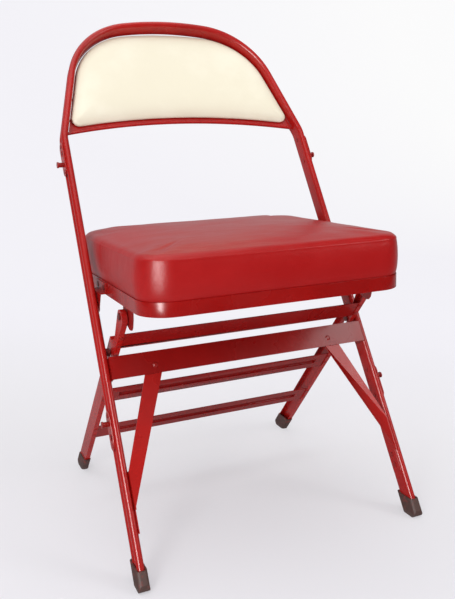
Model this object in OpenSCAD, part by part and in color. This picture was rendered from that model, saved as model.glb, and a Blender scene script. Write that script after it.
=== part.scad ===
// Padded folding chair with a one-piece double-bead steel frame.
// X runs across the chair, Y toward its back, Z up. The floor is at Z = 0.

/* [Main frame] */
// Width over the two front legs at the floor
frame_w = 461; // [420:1:520]
// Length of the frame from the floor to the top of the arch, along its slope
frame_len = 919.5; // [880:1:960]
// Angle of the frame from upright
lean = 30.75; // [28:0.25:33]
// How much each leg draws in over a metre of its length
splay_per_m = 15; // [8:0.5:18]
// Fore-aft width of the double-bead channel
chan_w = 28; // [26:0.5:29]
// Depth of the double-bead channel, across the chair
chan_d = 11; // [9:0.5:11]
// Sheet thickness of the channels
chan_t = 1.3; // [1:0.1:1.6]
// Where the legs turn into the arch, from the floor along the frame
bend_s = 695; // [680:1:700]
// Angle of the sides of the arch from the frame's middle line
arch_side_angle = 15.3; // [13:0.1:17]
// Outer radius of the arch's upper corners
arch_corner_r = 137; // [110:1:160]
// Outer radius of the arch's crown
arch_top_r = 500; // [420:5:700]
// Outer radius of the bend where a leg turns into the arch
leg_bend_r = 60; // [40:1:90]

/* [Front rail and braces] */
// Distance of the rail's middle from the floor, along the frame
rail_s = 305; // [296:1:305]
// Height of the rail
rail_h = 34; // [28:1:34]
// Gap between the frame's front face and the braces
brace_gap = 2; // [2:0.1:5]
// Sheet thickness of the rail and the braces
strap_t = 1.6; // [1.2:0.1:2]
// Width of a brace at its upper end
brace_w = 25; // [20:1:28]
// Distance of a brace's upper rivet from the middle of the chair
brace_top_x = 148; // [130:1:156]
// Where a brace's outer edge reaches the leg, along the frame from the floor
brace_fold_s = 157; // [148:1:165]
// Length of a brace's fold along the leg
brace_fold = 53; // [48:1:62]
// Length of the brace's end that lies on the leg
brace_tab = 85; // [82:1:92]

/* [Seat] */
// Gap between the seat pan and the frame's web at the hinge
pan_side_gap = 11.9; // [11:0.1:16]
// Depth of the seat pan, front to back
pan_l = 375; // [350:1:385]
// Height of the pan's side wall
pan_h = 20; // [16:0.5:26]
// Sheet thickness of the pan
pan_t = 1.2; // [1:0.1:2]
// Corner radius at the front of the pan
pan_rf = 45; // [30:1:60]
// Corner radius at the back of the pan
pan_rr = 68; // [50:1:80]
// Slope of the seat down to the back
seat_slope = 1; // [0:0.25:2]
// Height of the cushion's welt over the bottom of the pan
cushion_h = 71; // [50:1:80]
// Rise of the cushion's crown over its welt
cushion_crown = 19; // [10:1:24]
// Gap between the cushion and the pan's wall
cushion_gap = 0.4; // [0.3:0.1:1]

/* [Hinges] */
// Place of the seat's hinge on the frame, along the frame from the floor
seat_hinge_s = 407.6; // [402:0.5:412]
// Distance from the seat's hinge to the front edge of the pan
pan_front = 209; // [204:1:214]
// Distance from the seat's hinge forward to the rear legs' hinge
leg_hinge_y = 96.5; // [92:0.5:100]
// Distance from the pan down to the rear legs' hinge
leg_hinge_drop = 16.5; // [15:0.5:17.5]
// Distance from the pan down to the seat's hinge
seat_hinge_drop = 18.5; // [17.5:0.1:20]
// Radius of the hinge pins
pin_r = 3; // [2.5:0.1:4]
// Radial running clearance of a hinge pin
pin_gap = 0.06; // [0.04:0.01:0.1]
// Side clearance of the guide pin in its slot
slot_gap = 0.35; // [0.2:0.05:0.6]

/* [Rear legs] */
// Angle of the rear legs from upright
spread = 41.33; // [40:0.25:43]
// Fore-aft width of a rear leg's channel
rear_w = 28.4; // [26:0.1:29]
// Depth of a rear leg's channel, across the chair
rear_d = 8.2; // [7:0.1:10]
// How far a rear leg's outer face stands outside the pan's side at the hinge
leg_outset = 3.5; // [2.5:0.1:5]
// How much a rear leg moves outward from its hinge down to the floor
leg_flare = 8; // [5:0.5:9]
// Sheet thickness of the rear legs and their rails
rear_t = 1.3; // [1:0.1:1.6]
// Radius of the round head of a rear leg
head_r = 10; // [9.5:0.5:11]
// Width of the neck under that head
neck_w = 12.7; // [12:0.1:15]
// Distance from the hinge down to the narrowest place of the neck
neck_u = 50; // [44:1:52]
// Radius of the curve that cuts in the neck
neck_r = 18.5; // [16:0.5:20]
// Distance of the upper cross rail from the legs' hinge
rail_up_u = 45; // [44:1:60]
// Distance of the middle cross rail from the legs' hinge
rail_mid_u = 198; // [196:1:230]
// Distance of the lower cross rail from the legs' hinge
rail_low_u = 320; // [310:1:350]
// Height of the upper cross rail
rail_up_h = 35; // [30:1:36]
// Height of the middle and lower cross rails
rail_low_h = 40; // [30:1:41]
// Radius of the groove pressed along those rails
groove_r = 5; // [3:0.5:6]

/* [Back] */
// Lower end of the back panel at the frame, from the floor along the frame
panel_s = 703; // [698:1:712]
// Rise of the panel's lower edge in the middle
panel_rise = 26; // [15:1:32]
// How far the panel's middle is set back
panel_dish = 14; // [8:1:22]
// Sheet thickness of the panel
panel_t = 1.4; // [1:0.1:2]
// Radius of the panel's rolled lower edge
rim_r = 2.6; // [2.4:0.1:4]
// Thickness of the back pad in its middle
pad_t = 15; // [10:1:20]
// Thickness of the back pad at its edge
pad_edge = 6; // [4:0.5:8]
// Gap between the back pad and the frame
pad_gap = 1.2; // [0.8:0.1:3]

/* [Ganging plates] */
// Length of a ganging plate
gang_l = 58; // [54:1:60]
// Width of a ganging plate
gang_w = 22; // [18:1:24]
// Middle of the upper plates, along the frame from the floor
gang_up_s = 657; // [640:1:664]
// Middle of the lower plates, along the frame from the floor
gang_low_s = 219; // [205:1:230]
// Radius of the hole that takes a neighbour's stud
gang_hole_r = 5; // [4.4:0.1:5.4]
// Radius of a ganging stud
gang_stud_r = 3.8; // [3.2:0.1:4]

/* [Feet] */
// Height of a rubber boot
boot_h = 28; // [24:1:34]
// Wall of a rubber boot
boot_wall = 2.4; // [2:0.1:3]
// Rubber under the end of a leg
boot_sole = 12; // [9:0.5:14]
// Radius of the upright corners of a boot
boot_r = 5; // [3:0.5:6]
// Radius at the floor of a front boot's toe and a rear boot's heel
boot_toe_r = 8; // [4:0.5:10]

/* [Hidden] */
eps = 0.01;

// Places and angles that follow from the sizes above
splay = atan(splay_per_m / 1000);
half_w = frame_w / 2;
pan_w = 2 * (half_w - seat_hinge_s * tan(splay) - chan_d - pan_side_gap);
rear_top_w = pan_w + 2 * leg_outset;
hinge_d = [seat_hinge_s * sin(lean), seat_hinge_s * cos(lean)];
function turn(a, p) = [p[0] * cos(a) - p[1] * sin(a), p[0] * sin(a) + p[1] * cos(a)];
leg_hinge_z = seat_hinge_drop - leg_hinge_drop;
hinge_a = hinge_d + turn(-seat_slope, [-leg_hinge_y, leg_hinge_z]);
rear_len = hinge_a[1] / cos(spread);
rear_foot_y = hinge_a[0] + rear_len * sin(spread);
rear_splay = atan(leg_flare / rear_len);

// The guide pin stands where the two leg lines cross
cross_s = (hinge_a[0] * cos(spread) + hinge_a[1] * sin(spread)) / sin(lean + spread);
guide = [cross_s * sin(lean), cross_s * cos(lean)];
fold_seat = 90 + lean - seat_slope;
fold_rear = lean + spread;
slot_steps = 18;
slot_half = pin_r + slot_gap;
function hinge_a_at(t) = hinge_d + turn(-fold_seat * t, hinge_a - hinge_d);
// Guide pin seen from the rear leg, with y up along the leg and z to its front
function in_rear_leg(t) =
    let (d = turn(fold_rear * t, guide - hinge_a_at(t)))
    [-d[0] * sin(spread) + d[1] * cos(spread), -d[0] * cos(spread) - d[1] * sin(spread)];
slot_path = [for (i = [0:slot_steps]) in_rear_leg(i / slot_steps)];
function unit(v) = v / norm(v);
function path_dir(i) = unit(slot_path[min(i + 1, slot_steps)] - slot_path[max(i - 1, 0)]);
function side_of(d) = [-d[1], d[0]];
function cap(i, a0) = [for (a = [15:15:165]) slot_path[i] + slot_half * turn(a0 - a, side_of(path_dir(i)))];
slot_last = slot_steps - 3;
slot_outline = concat(
    [for (i = [0:slot_last]) slot_path[i] + slot_half * side_of(path_dir(i))],
    cap(slot_last, 0),
    [for (i = [slot_last:-1:0]) slot_path[i] - slot_half * side_of(path_dir(i))],
    cap(0, -180)
);
slot_pocket = (slot_path[slot_last] + slot_path[slot_steps]) / 2;
slot_pocket_r = slot_half + norm(slot_path[slot_last] - slot_path[slot_steps]) / 2 + 0.2;

// The overall box, used to put the origin under its middle
front_boot_toe = boot_sole * tan(lean) - chan_w / 2 / cos(lean) - boot_wall;
rear_boot_heel = rear_foot_y - boot_sole * tan(spread) + rear_w / 2 / cos(spread) + boot_wall;
front_most = min(hinge_d[0] - pan_front, front_boot_toe);
bead_r = chan_d / 2;
bead_y = chan_w / 2 - bead_r;
back_most = max((frame_len - bead_r) * sin(lean) + bead_y * cos(lean) + bead_r, rear_boot_heel);
mid_y = (front_most + back_most) / 2;

module chair() {
    translate([0, -mid_y, 0]) children();
}
// Frame space: x across, y up along the frame, z to its front
module in_frame() {
    chair() rotate([90 - lean, 0, 0]) children();
}
module sided(side) {
    if (side < 0) mirror([1, 0, 0]) children();
    else children();
}
// Leg space: x outward from the leg's outer face, y up along the leg, z to its front
module in_leg(side) {
    in_frame() sided(side) translate([half_w, 0, 0]) rotate([0, 0, splay]) children();
}
// Seat space: origin at the seat's hinge, y to the back, z up
module in_seat() {
    chair() translate([0, hinge_d[0], hinge_d[1]]) rotate([-seat_slope, 0, 0]) children();
}
// Rear leg space: origin at the leg's hinge on its outer face, y up along it, z to its front
module in_rear() {
    chair() translate([0, hinge_a[0], hinge_a[1]]) rotate([90 + spread, 0, 0]) children();
}
module in_rear_leg_space(side) {
    in_rear() sided(side) translate([rear_top_w / 2, 0, 0]) rotate([0, 0, rear_splay]) children();
}
function frame_x(s) = half_w - s * tan(splay);
function rear_x(u) = rear_top_w / 2 + u * tan(rear_splay);
// Everything above a level plane, h over the floor
module above(h) {
    intersection() {
        children();
        translate([-frame_w, -frame_len, h]) cube([2 * frame_w, 3 * frame_len, 2 * frame_len]);
    }
}
// A rod along x from x0 to x1
module rod(x0, x1, r) {
    translate([x0, 0, 0]) rotate([0, 90, 0]) cylinder(r = r, h = x1 - x0, $fn = 40);
}
// A flat outline in y and z, from x0 to x1
module plate(x0, x1) {
    translate([x0, 0, 0]) rotate([90, 0, 90]) linear_extrude(x1 - x0) children();
}

// Double-bead channel: a flat web inside, both edges rolled outward into beads
bead_end = -125;
bead_steps = 8;
function bead_pts(r) = [for (i = [0:bead_steps]) let (a = 180 + (bead_end - 180) * i / bead_steps) [r * cos(a) - bead_r, bead_y + r * sin(a)]];
function back_to_front(v) = [for (i = [len(v) - 1:-1:0]) v[i]];
function flip_y(v) = [for (q = v) [q[0], -q[1]]];
chan_half = concat(bead_pts(bead_r), back_to_front(bead_pts(bead_r - chan_t)));
chan_profile = concat(chan_half, back_to_front(flip_y(chan_half)));
// A profile carried along a flat path; each station is [point, outward direction]
module swept(stations, profile) {
    n = len(profile);
    m = len(stations);
    pts = [for (st = stations) for (q = profile) [st[0][0] + st[1][0] * q[0], st[0][1] + st[1][1] * q[0], q[1]]];
    sides = [for (k = [0:m - 2]) for (i = [0:n - 1]) let (a = k * n + i, b = k * n + (i + 1) % n) each [[a, b, b + n], [a, b + n, a + n]]];
    polyhedron(points = pts, faces = concat([[for (i = [n - 1:-1:0]) i]], sides, [[for (i = [0:n - 1]) (m - 1) * n + i]]), convexity = 8);
}

// The arch: a corner arc that touches both the crown's arc and the slanted side
side_dir = [-sin(arch_side_angle), cos(arch_side_angle)];
side_out = [cos(arch_side_angle), sin(arch_side_angle)];
bend_p = [frame_x(bend_s), bend_s];
top_c = [0, frame_len - arch_top_r];
function corner_at(a) = top_c + (arch_top_r - arch_corner_r) * [sin(a), cos(a)];
function corner_gap(a) = (bend_p - corner_at(a)) * side_out - arch_corner_r;
function solve(lo, hi, n) =
    n == 0 ? (lo + hi) / 2 :
    corner_gap((lo + hi) / 2) > 0 ? solve((lo + hi) / 2, hi, n - 1) : solve(lo, (lo + hi) / 2, n - 1);
corner_a = solve(0.5, 40, 40);
corner_c = corner_at(corner_a);
side_hit = corner_c + arch_corner_r * side_out;
bend_cut = leg_bend_r * tan((arch_side_angle - splay) / 2);
leg_out = [cos(splay), sin(splay)];
leg_up = [-sin(splay), cos(splay)];
bend_from = bend_p - bend_cut * leg_up;
bend_c = bend_from - leg_bend_r * leg_out;
side_from = bend_p + bend_cut * side_dir;
function arc_stations(c, r, a0, a1, steps) = [for (i = [0:steps]) let (a = a0 + (a1 - a0) * i / steps) [c + r * [cos(a), sin(a)], [cos(a), sin(a)]]];
half_stations = concat(
    [[[half_w, 0] - chan_w * leg_up, leg_out]],
    arc_stations(bend_c, leg_bend_r, splay, arch_side_angle, 4),
    arc_stations(corner_c, arch_corner_r, arch_side_angle, 90 - corner_a, 12),
    [for (i = [1:6]) arc_stations(top_c, arch_top_r, 90 - corner_a, 90, 7)[i]]
);
function flip_station(st) = [[-st[0][0], st[0][1]], [-st[1][0], st[1][1]]];
frame_stations = concat(half_stations, [[[0, frame_len], [0, 1]]], [for (st = back_to_front(half_stations)) flip_station(st)]);

// Places of the rivets on a front leg, as distance from the floor and distance to the front
rivet_r = 2.2;
rivet_head_r = 4.2;
rivet_head_h = 0.9;
brace_tab_s = [brace_fold_s - brace_tab + 10, brace_fold_s - brace_tab + 26];
leg_rivets = concat([rail_s - rail_h / 4, rail_s + rail_h / 4], brace_tab_s);
gang_rivet_gap = gang_l / 2 - 7;
gang_rivets_s = [for (s = [gang_up_s, gang_low_s]) for (d = [-1, 1]) s + d * gang_rivet_gap];
module at_leg(side, s, z) {
    in_leg(side) translate([0, s / cos(splay), z]) children();
}
module at_guide(side) {
    chair() translate([0, guide[0], guide[1]]) sided(side) children();
}
module at_seat_hinge(side) {
    in_seat() sided(side) children();
}
hinge_web = frame_x(seat_hinge_s) - chan_d;
guide_web = frame_x(cross_s) - chan_d;
// Places on the slanted side of the arch, where the back panel is riveted
panel_rivet_low = 32;
panel_rivet_high = 40;
panel_rivets_s = [panel_s + panel_rivet_low, side_hit[1] - panel_rivet_high];
panel_rivet_z = -8;
module at_side(side, s) {
    in_frame() sided(side) translate([bend_p[0], bend_p[1], panel_rivet_z]) rotate([0, 0, arch_side_angle])
        translate([0, (s - bend_p[1]) / cos(arch_side_angle), 0]) children();
}
module main_frame() {
    color("firebrick") above(boot_sole) difference() {
        in_frame() swept(frame_stations, chan_profile);
        for (side = [-1, 1]) {
            at_seat_hinge(side) rod(hinge_web - chan_d, hinge_web + chan_t + 0.5, pin_r + pin_gap);
            at_guide(side) rod(guide_web - chan_d, guide_web + chan_t + 0.5, pin_r);
            for (s = leg_rivets) at_leg(side, s, 0) rod(-2 * chan_d, 0, rivet_r);
            for (s = gang_rivets_s) at_leg(side, s, 0) rod(-2 * chan_d, 0, rivet_r);
            for (s = panel_rivets_s) at_side(side, s) rod(-2 * chan_d, 0, rivet_r);
        }
    }
}

// Front rail: a strap in front of the legs, with ends bent back onto their webs
front_z = chan_w / 2 + brace_gap + strap_t;
rail_tab_z = 8;
module rail_end(side) {
    in_leg(side) translate([-chan_d - strap_t, rail_s - rail_h / 2, -rail_tab_z])
        cube([strap_t, rail_h, rail_tab_z + front_z + strap_t]);
}
module front_rail() {
    w = frame_x(rail_s + rail_h / 2) - chan_d;
    color("firebrick") difference() {
        union() {
            in_frame() translate([-w, rail_s - rail_h / 2, front_z]) cube([2 * w, rail_h, strap_t]);
            for (side = [-1, 1]) rail_end(side);
        }
        for (side = [-1, 1]) {
            for (d = [-1, 1]) at_leg(side, rail_s + d * rail_h / 4, 0) rod(-2 * chan_d, 0, rivet_r);
            in_frame() translate([side * brace_top_x, rail_s - 4, 0]) cylinder(r = rivet_r, h = 2 * front_z, $fn = 40);
        }
    }
}

// Braces: straps behind the rail that run out to the legs and fold onto them
brace_top = [brace_top_x, rail_s - 4];
function web_point(s) = [frame_x(s) - chan_d, s];
// Where a line from p touches the round upper end
function touch(p, turned) =
    let (d = p - brace_top)
    let (a = atan2(d[1], d[0]) + turned * acos(brace_w / 2 / norm(d)))
    brace_top + brace_w / 2 * [cos(a), sin(a)];
module brace_outline() {
    outer = web_point(brace_fold_s);
    inner = web_point(brace_fold_s - brace_fold);
    translate(brace_top) circle(r = brace_w / 2, $fn = 40);
    polygon([brace_top, touch(outer, 1), outer, inner, touch(inner, -1)]);
}
module brace(side) {
    low_s = brace_fold_s - brace_tab;
    color("firebrick") difference() {
        union() {
            in_frame() sided(side) translate([0, 0, front_z - strap_t]) linear_extrude(strap_t) brace_outline();
            in_leg(side) translate([-chan_d - strap_t, brace_fold_s - brace_fold, -rail_tab_z])
                cube([strap_t, brace_fold, rail_tab_z + front_z]);
            in_leg(side) translate([-chan_d - strap_t, low_s, -rail_tab_z])
                cube([strap_t, brace_tab - brace_fold / 2, 2.5 * rail_tab_z]);
        }
        for (s = brace_tab_s) at_leg(side, s, 0) rod(-2 * chan_d, 0, rivet_r);
        in_frame() translate([side * brace_top_x, rail_s - 4, 0]) cylinder(r = rivet_r, h = 2 * front_z, $fn = 40);
    }
}
module brace_rivets() {
    color("darkred") for (side = [-1, 1]) in_frame() translate([side * brace_top_x, rail_s - 4, front_z - strap_t]) {
        cylinder(r = rivet_r, h = 2 * strap_t, $fn = 40);
        translate([0, 0, 2 * strap_t]) cylinder(r1 = rivet_head_r, r2 = rivet_r, h = rivet_head_h + 0.5, $fn = 40);
        translate([0, 0, -rivet_head_h / 2]) cylinder(r = rivet_head_r, h = rivet_head_h / 2, $fn = 40);
    }
}
module rail_rivets() {
    color("darkred") for (side = [-1, 1]) for (s = leg_rivets) at_leg(side, s, 0) {
        rod(-chan_d - strap_t, -chan_d + chan_t, rivet_r);
        rod(-chan_d - strap_t - rivet_head_h, -chan_d - strap_t, rivet_head_r);
        rod(-chan_d + chan_t, -chan_d + chan_t + 0.5, rivet_r + 0.6);
    }
}

// Ganging plates on the outer sides, each with a hole and a stud for the next chair
gang_t = 1.6;
gang_hole_d = 10;
gang_stud_h = 8;
module gang_shape() {
    for (d = [-1, 1]) translate([d * (gang_l - gang_w) / 2, 0]) circle(r = gang_w / 2, $fn = 60);
    square([gang_l - gang_w, gang_w], center = true);
}
module gang_plate(side, s, hole) {
    color("firebrick") at_leg(side, s, 0) difference() {
        plate(0, gang_t) gang_shape();
        translate([0, hole * gang_hole_d, 0]) rod(-gang_t, 2 * gang_t, gang_hole_r);
        for (d = [-1, 1]) translate([0, d * gang_rivet_gap / cos(splay), 0]) rod(-gang_t, 2 * gang_t, rivet_r);
        translate([0, -hole * gang_hole_d, 0]) rod(-gang_t, 2 * gang_t, gang_stud_r);
    }
}
module gang_stud() {
    rod(0, gang_t + gang_stud_h, gang_stud_r);
    rod(gang_t + gang_stud_h, gang_t + gang_stud_h + 2.5, gang_hole_r - 0.2);
}
module gang_studs() {
    color("darkred") for (side = [-1, 1]) {
        at_leg(side, gang_up_s, 0) translate([0, -gang_hole_d, 0]) gang_stud();
        at_leg(side, gang_low_s, 0) translate([0, gang_hole_d, 0]) gang_stud();
    }
}
module gang_rivets() {
    color("darkred") for (side = [-1, 1]) for (s = gang_rivets_s) at_leg(side, s, 0) {
        rod(-chan_d, gang_t, rivet_r);
        rod(gang_t, gang_t + rivet_head_h, rivet_head_r - 1);
        rod(-chan_d - rivet_head_h, -chan_d, rivet_head_r - 1);
    }
}

// Back panel: a sheet dished across its width, its lower edge arched and rolled
in_corner = arch_corner_r - chan_d;
in_top = arch_top_r - chan_d;
panel_half = frame_x(panel_s) - chan_d;
dish_r = (pow(panel_half, 2) + pow(panel_dish, 2)) / (2 * panel_dish);
function dish_z(x) = -panel_dish + dish_r - sqrt(pow(dish_r, 2) - pow(x, 2));
// A point on the slanted side at height s, g inside the frame's web
function side_x(s, g) = bend_p[0] - ((s - bend_p[1]) * sin(arch_side_angle) + chan_d + g) / cos(arch_side_angle);
// Rings of points joined into a closed skin, each ring the same length
function ring_faces(n, m) = concat(
    [for (k = [0:m - 2]) for (i = [0:n - 1]) [k * n + i, k * n + (i + 1) % n, (k + 1) * n + (i + 1) % n]],
    [for (k = [0:m - 2]) for (i = [0:n - 1]) [k * n + i, (k + 1) * n + (i + 1) % n, (k + 1) * n + i]],
    [for (i = [0:n - 1]) [m * n, (i + 1) % n, i]],
    [for (i = [0:n - 1]) [m * n + 1, (m - 1) * n + i, (m - 1) * n + (i + 1) % n]]
);
module skin(rings, low, high) {
    n = len(rings[0]);
    pts = concat([for (r = rings) for (p = r) p], [low, high]);
    polyhedron(points = pts, faces = [for (f = ring_faces(n, len(rings))) [f[0], f[2], f[1]]], convexity = 4);
}

// Outlines inside the frame: g off the web, low edge raised by low, lower corners of radius r
pad_low_r = 12;
panel_low_r = 3;
low_slope = atan(2 * panel_rise / panel_half);
pad_rim = 7;
function low_edge(x, low) = panel_s + low + panel_rise * (1 - pow(x / panel_half, 2));
function inner_half(g, low, r) =
    let (corner_x = side_x(panel_s + low + 1.5 * r + 4, g) - 1.2 * r)
    let (s0 = low_edge(corner_x, low) + r * (cos(low_slope) + sin(arch_side_angle)))
    let (s1 = side_hit[1] - (chan_d + g) * sin(arch_side_angle))
    let (c = [side_x(s0, g) - r * cos(arch_side_angle), s0 - r * sin(arch_side_angle)])
    concat(
        [for (i = [0:5]) let (x = (c[0] - r * sin(low_slope) - 4) * i / 5) [x, low_edge(x, low)]],
        [for (a = [-90 - low_slope:25:20]) c + r * [cos(a), sin(a)]],
        [for (i = [1:3]) let (s = s0 + (s1 - s0) * i / 4) [side_x(s, g), s]],
        [for (i = [0:7]) let (a = arch_side_angle + (90 - corner_a - arch_side_angle) * i / 7)
            corner_c + (in_corner - g) * [cos(a), sin(a)]],
        [for (i = [1:3]) let (a = 90 - corner_a + corner_a * i / 3) top_c + (in_top - g) * [cos(a), sin(a)]]
    );
function both_halves(h) = concat(h, [for (i = [len(h) - 2:-1:1]) [-h[i][0], h[i][1]]]);
function dished(loop, z) = [for (p = loop) [p[0], p[1], dish_z(p[0]) + z]];
function panel_ring(d, z) = dished(both_halves(inner_half(panel_t + d, d, max(panel_low_r - d, 2))), z);
function pad_ring(d, z) = dished(both_halves(inner_half(panel_t + pad_gap + d, pad_rim + d, max(pad_low_r - d, 2))), z);
inner_mid = panel_s + panel_rise + pad_rim + 84;
module panel_flange() {
    in_frame() intersection() {
        translate([bend_p[0], bend_p[1], 0]) rotate([0, 0, arch_side_angle])
            translate([-chan_d - 1.6 * panel_t, 12, -chan_w / 2]) cube([1.6 * panel_t, frame_len, chan_w / 2 + 1]);
        translate([0, panel_s + 12, -chan_w]) cube([half_w, side_hit[1] - panel_s - 14, 2 * chan_w]);
    }
}
module back_panel() {
    rise = norm([panel_rise, panel_dish]);
    rim_big = (pow(panel_half, 2) + pow(rise, 2)) / (2 * rise);
    rim_a = asin((panel_half - 2 * rim_r - 1) / rim_big);
    rim_profile = [for (i = [0:9]) rim_r * [cos(36 * i), sin(36 * i)]];
    rings = [
        panel_ring(60, -panel_t), panel_ring(25, -panel_t), panel_ring(0, -panel_t),
        panel_ring(0, 0), panel_ring(25, 0), panel_ring(60, 0)
    ];
    color("firebrick") difference() {
        union() {
            in_frame() skin(rings, [0, inner_mid, -panel_t - panel_dish], [0, inner_mid, -panel_dish]);
            panel_flange();
            mirror([1, 0, 0]) panel_flange();
            in_frame() translate([0, panel_s, -panel_t / 2]) rotate([-atan(panel_dish / panel_rise), 0, 0])
                translate([0, rise - rim_big, 0])
                swept(arc_stations([0, 0], rim_big, 90 - rim_a, 90 + rim_a, 24), rim_profile);
        }
        for (side = [-1, 1]) for (s = panel_rivets_s) at_side(side, s) rod(-2 * chan_d, 0, rivet_r);
    }
}
module panel_rivets() {
    color("darkred") for (side = [-1, 1]) for (s = panel_rivets_s) at_side(side, s) {
        rod(-chan_d - 1.6 * panel_t, -chan_d + chan_t + 0.5, rivet_r);
        rod(-chan_d - 1.6 * panel_t - rivet_head_h, -chan_d - 1.6 * panel_t, rivet_r + 0.6);
    }
}

// Back pad: follows the panel's dish, its lower corners are round
pad_back = 0.8;
module back_pad() {
    rings = [
        pad_ring(60, pad_back + 1.4), pad_ring(25, pad_back + 0.6), pad_ring(3, pad_back), pad_ring(0.5, pad_back + 1),
        pad_ring(0, pad_edge / 2), pad_ring(1, pad_edge), pad_ring(5, pad_edge + (pad_t - pad_edge) * 0.45),
        pad_ring(14, pad_edge + (pad_t - pad_edge) * 0.75), pad_ring(32, pad_edge + (pad_t - pad_edge) * 0.94),
        pad_ring(60, pad_t)
    ];
    color("ivory") in_frame()
        skin(rings, [0, inner_mid, pad_back + 1.4 - panel_dish], [0, inner_mid, pad_t - panel_dish]);
}

// A rubber boot round a leg's end: level rim and sole, upright toe or heel
module leg_end(d, w) {
    translate([-d, -2 * boot_h, -w / 2]) cube([d, 4 * boot_h, w]);
}
module boot_body(d, w) {
    translate([-d / 2, -2 * boot_h, 0]) rotate([-90, 0, 0]) linear_extrude(4 * boot_h)
        translate([0, -w / 2 - boot_wall]) pan_plan(d + 2 * boot_wall, w + 2 * boot_wall, boot_r, boot_r);
}
// Side view of a boot that ends at edge, toward the back (1) or the front (-1)
module boot_side(edge, toward) {
    far = edge - toward * frame_w;
    chair() plate(-frame_w, frame_w) polygon(concat(
        [[edge, boot_h]],
        arc_pts([edge - toward * boot_toe_r, boot_toe_r], boot_toe_r, toward > 0 ? 0 : 180, toward > 0 ? -90 : 270),
        [[far, 0], [far, boot_h]]));
}
module front_boot(side) {
    color("saddlebrown") difference() {
        intersection() {
            in_leg(side) boot_body(chan_d, chan_w);
            boot_side(front_boot_toe, -1);
        }
        above(boot_sole) in_leg(side) leg_end(chan_d, chan_w);
    }
}

// Guide pin: fixed in the frame's web, its neck runs in the rear leg's slot
slot_u = -slot_path[slot_steps][0];
guide_face = rear_x(slot_u) + 0.3;
guide_head = rear_x(-slot_path[0][0]) - rear_t - 0.5;
module guide_pin(side) {
    color("dimgray") at_guide(side) {
        rod(guide_head - 2, frame_x(cross_s) - chan_d + chan_t, pin_r);
        rod(guide_face, frame_x(cross_s + 2 * pin_r) - chan_d - 0.05, 2 * pin_r);
        rod(guide_head - 2, guide_head, pin_r + 1.8);
    }
}

// Seat pan: a pressed tray, round corners smaller at the front
pan_floor = seat_hinge_drop;
module pan_plan(w, l, rf, rr) {
    translate([-w / 2, rf]) square([w, l - rf - rr]);
    translate([-w / 2 + rf, 0]) square([w - 2 * rf, rf]);
    translate([-w / 2 + rr, l - rr]) square([w - 2 * rr, rr]);
    for (m = [-1, 1]) {
        translate([m * (w / 2 - rf), rf]) circle(r = rf, $fn = 90);
        translate([m * (w / 2 - rr), l - rr]) circle(r = rr, $fn = 90);
    }
}
bracket_y = -leg_hinge_y;
bracket_t = 2;
bracket_x = rear_top_w / 2 - rear_d - 1.6;
bracket_flange = 20;
bracket_rivet_x = bracket_x - 9;
bracket_rivet_y = [bracket_y - 14, bracket_y + 6];
ear_rivet_y = [-12, 23];
ear_flange_z = pan_floor + 4;
module at_bracket_rivets(side) {
    in_seat() sided(side) for (y = bracket_rivet_y) translate([bracket_rivet_x, y, pan_floor]) children();
}
module at_ear_rivets(side) {
    in_seat() sided(side) for (y = ear_rivet_y) translate([pan_w / 2, y, ear_flange_z + 7]) children();
}
module seat_pan() {
    color("firebrick") difference() {
        in_seat() translate([0, -pan_front, pan_floor]) difference() {
            linear_extrude(pan_h) pan_plan(pan_w, pan_l, pan_rf, pan_rr);
            translate([0, pan_t, pan_t]) linear_extrude(pan_h)
                pan_plan(pan_w - 2 * pan_t, pan_l - 2 * pan_t, pan_rf - pan_t, pan_rr - pan_t);
        }
        for (side = [-1, 1]) {
            at_bracket_rivets(side) translate([0, 0, -pan_t]) cylinder(r = rivet_r, h = 3 * pan_t, $fn = 40);
            at_ear_rivets(side) rod(-2 * pan_t, pan_t, rivet_r);
        }
    }
}

// Seat cushion: drawn in at its seam and its welt, crowned on top
function arc_pts(c, r, a0, a1) = [for (i = [0:7]) let (a = a0 + (a1 - a0) * i / 7) c + r * [cos(a), sin(a)]];
function plan_ring(d, z) =
    let (w = pan_w / 2 - d, f = -pan_front + d, b = pan_l - pan_front - d)
    let (rf = max(pan_rf - d, 6), rr = max(pan_rr - d, 6))
    let (loop = concat(
        arc_pts([w - rf, f + rf], rf, -90, 0), [[w, (f + b) / 2 - 50], [w, (f + b) / 2 + 50]],
        arc_pts([w - rr, b - rr], rr, 0, 90), [[60, b], [-60, b]],
        arc_pts([rr - w, b - rr], rr, 90, 180), [[-w, (f + b) / 2 + 50], [-w, (f + b) / 2 - 50]],
        arc_pts([rf - w, f + rf], rf, 180, 270), [[-60, f], [60, f]]))
    [for (p = loop) [p[0], p[1], z]];
module seat_cushion() {
    low = pan_floor + pan_t;
    seam = pan_floor + pan_h;
    welt = pan_floor + cushion_h;
    side_h = welt - seam;
    inner = pan_t + cushion_gap;
    rings = [
        plan_ring(60, low), plan_ring(inner + 3, low), plan_ring(inner, low + 3), plan_ring(inner, seam - 1),
        plan_ring(inner, seam + 1), plan_ring(0, seam + side_h * 0.12), plan_ring(-1.8, seam + side_h * 0.35),
        plan_ring(-2, seam + side_h * 0.6), plan_ring(-1, seam + side_h * 0.85), plan_ring(0.8, welt - 3),
        plan_ring(-0.8, welt - 1.6), plan_ring(-1, welt), plan_ring(0.5, welt + 1.8),
        plan_ring(6, welt + cushion_crown * 0.36), plan_ring(18, welt + cushion_crown * 0.62),
        plan_ring(45, welt + cushion_crown * 0.85), plan_ring(90, welt + cushion_crown * 0.97)
    ];
    mid = pan_l / 2 - pan_front;
    color("crimson") in_seat() skin(rings, [0, mid, low], [0, mid, welt + cushion_crown]);
}

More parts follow.
